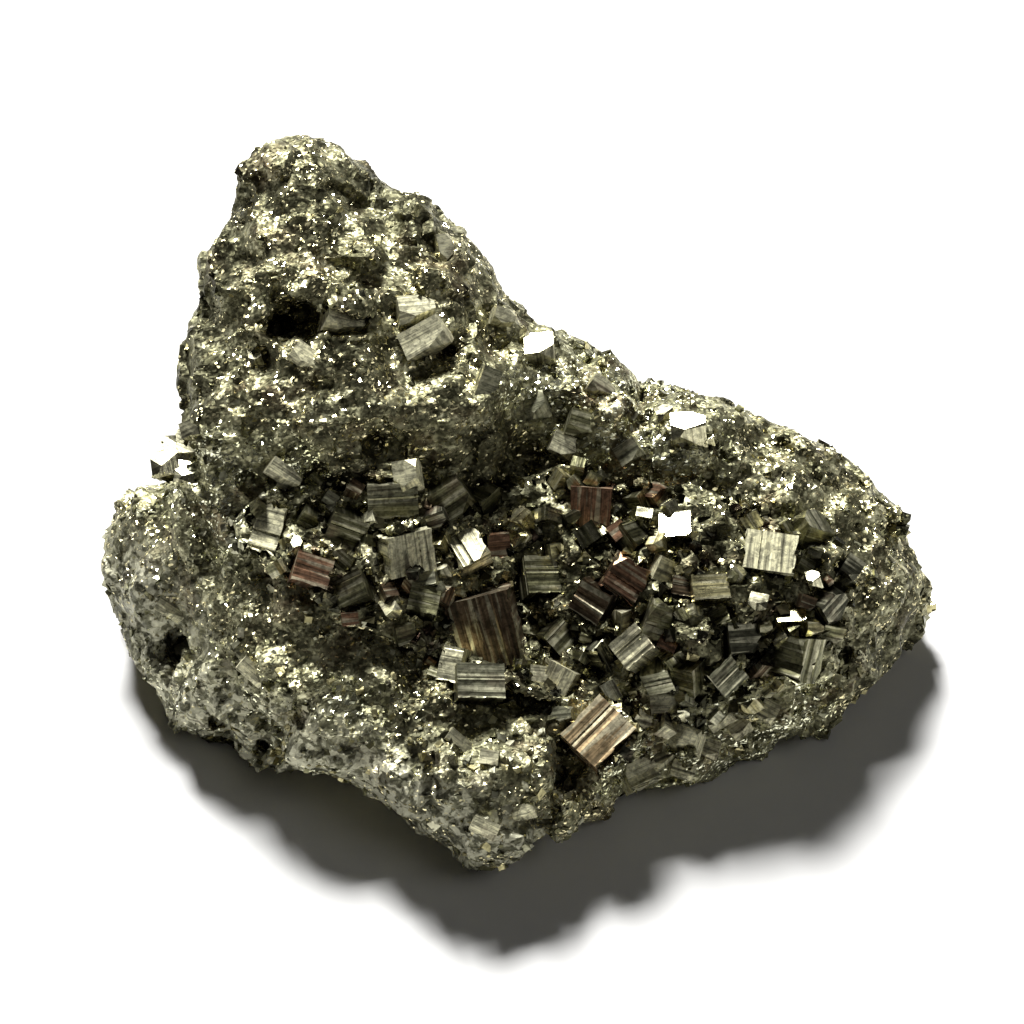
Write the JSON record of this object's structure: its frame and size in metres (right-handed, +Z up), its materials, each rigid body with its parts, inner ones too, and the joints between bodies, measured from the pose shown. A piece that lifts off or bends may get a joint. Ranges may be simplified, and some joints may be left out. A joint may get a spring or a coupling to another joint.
{
  "type": "pyrite specimen",
  "caption": "Craggy cabinet lump of massive granular pyrite with a high peak at one end, a broad lobe at the other and a crust of striated cubes in the open trough between them.",
  "frame": {"origin": "under the middle of the lump's bounding box, at the level of its flat base", "axes": "+Z up, +X along the lump's length from the peak end to the broad lobe, -Y out of the side that the trough opens to"},
  "size_m": [0.0852, 0.0662, 0.0465],
  "materials": {
    "pyrite_mass": "dull grey-brown metallic grains with pale brassy glints",
    "cube_crust": "bright brassy metallic crystal faces with fine parallel striae"
  },
  "bodies": {
    "root": {"pyrite_mass": "pyrite_mass", "cube_crust": "cube_crust"}
  },
  "joints": []
}
